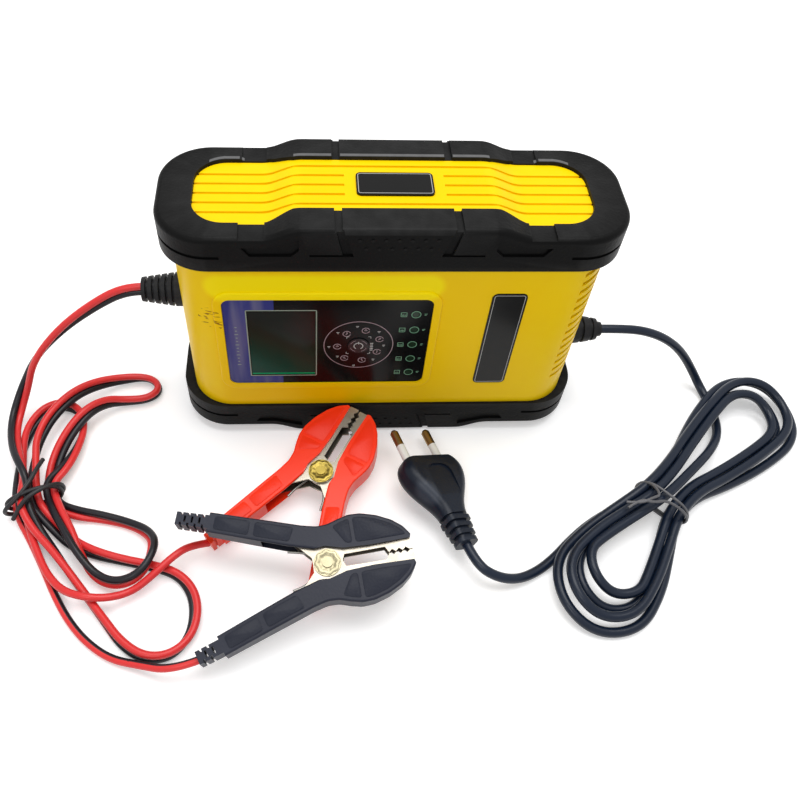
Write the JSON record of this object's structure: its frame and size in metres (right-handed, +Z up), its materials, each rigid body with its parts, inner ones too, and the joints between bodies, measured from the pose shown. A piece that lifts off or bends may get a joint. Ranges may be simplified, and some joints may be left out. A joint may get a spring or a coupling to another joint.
{
  "type": "car battery charger",
  "caption": "Free-standing car battery charger: upright yellow case between black bumpers, front display panel, coiled clamp lead with red and black clamps, hanked mains lead with plug",
  "frame": {"origin": "the middle of the case's footprint, on the bench", "axes": "+X to the right along the front, -Y out of the display, +Z up"},
  "size_m": [0.4003, 0.181, 0.128],
  "materials": {
    "yellow_case": "satin yellow moulding",
    "black_bumper": "fine grained black moulding",
    "bare_plate": "glossy black, without any print",
    "panel_sheet": "glossy black sheet",
    "lcd": "dark screen, switched off",
    "lamp": "clear lens, switched off",
    "button": "satin black cap",
    "switch": "moulded",
    "circuit_board": "green laminate",
    "core": "sintered ferrite",
    "winding": "enamelled copper wire",
    "sink": "plain extruded",
    "chip": "moulded",
    "capacitor": "sleeved can",
    "relay_case": "moulded",
    "fuse_tube": "glazed tube with caps",
    "clip": "tinned",
    "terminal": "moulded",
    "fan": "moulded",
    "screw": "zinc plated",
    "relief": "matt",
    "black_sleeve": "soft glossy vinyl",
    "red_sleeve": "soft glossy vinyl",
    "jaw": "brassy nickel plate",
    "rivet": "bright",
    "spring": "plain wire",
    "red_wire": "satin insulation",
    "black_wire": "satin insulation",
    "black_tie": "plastic coated wire",
    "grey_tie": "plastic coated wire",
    "mains_cord": "satin jacket",
    "plug": "satin moulding",
    "pin_sleeve": "pale insulation",
    "pin": "bright"
  },
  "bodies": {
    "charger": {"back_shell": "yellow_case", "black_jaw_fixed": "jaw", "black_rivet": "rivet", "black_sleeve_fixed": "black_sleeve", "black_spring": "spring", "black_wire": "black_wire", "board_screws": "screw", "bottom_panel": "yellow_case", "case_screws": "screw", "choke": "winding", "dc_relief": "relief", "display_board": "circuit_board", "display_overlay": "panel_sheet", "fan_frame": "fan", "filter_capacitors": "capacitor", "front_shell": "yellow_case", "fuse": "fuse_tube", "fuse_holder": "clip", "heat_sink": "sink", "lcd_screen": "lcd", "lead_inner_wires": "red_wire", "lead_tie": "black_tie", "lower_bumper": "black_bumper", "main_board": "circuit_board", "mains_cord": "mains_cord", "mains_gland": "relief", "mains_inner_wires": "black_wire", "mains_tie": "grey_tie", "mode_switch": "switch", "name_plate": "bare_plate", "pin_sleeves": "pin_sleeve", "plug_body": "plug", "plug_pins": "pin", "power_transistors": "chip", "rating_plate": "bare_plate", "red_jaw_fixed": "jaw", "red_rivet": "rivet", "red_sleeve_fixed": "red_sleeve", "red_spring": "spring", "red_wire": "red_wire", "relay": "relay_case", "small_capacitors": "capacitor", "status_lights": "lamp", "top_badge": "bare_plate", "top_panel": "yellow_case", "transformer_core": "core", "transformer_winding": "winding", "upper_bumper": "black_bumper", "wire_terminals": "terminal"},
    "mode_button_body": {"mode_button": "button"},
    "fan_wheel": {"fan_rotor": "fan"},
    "red_handle": {"red_sleeve_moving": "red_sleeve", "red_jaw_moving": "jaw"},
    "black_handle": {"black_sleeve_moving": "black_sleeve", "black_jaw_moving": "jaw"}
  },
  "joints": [
    {"name": "mode_press", "type": "slide", "parent": "charger", "child": "mode_button_body", "axis": [0, 1, 0], "range_m": [0, 0.0007], "stiffness_N_per_m": 400},
    {"name": "fan_turn", "type": "hinge", "parent": "charger", "child": "fan_wheel", "pos_m": [0.077, 0, 0.074], "axis": [1, 0, 0], "continuous": true},
    {"name": "red_clamp_open", "type": "hinge", "parent": "charger", "child": "red_handle", "pos_m": [-0.0293, -0.0632, 0.0131], "axis": [0.0727, 0.1187, -0.9903], "range_deg": [0, 24], "stiffness_Nm_per_rad": 0.4},
    {"name": "black_clamp_open", "type": "hinge", "parent": "charger", "child": "black_handle", "pos_m": [-0.0277, -0.1116, 0.0208], "axis": [-0.0418, -0.2193, 0.9748], "range_deg": [0, 24], "stiffness_Nm_per_rad": 0.4}
  ]
}
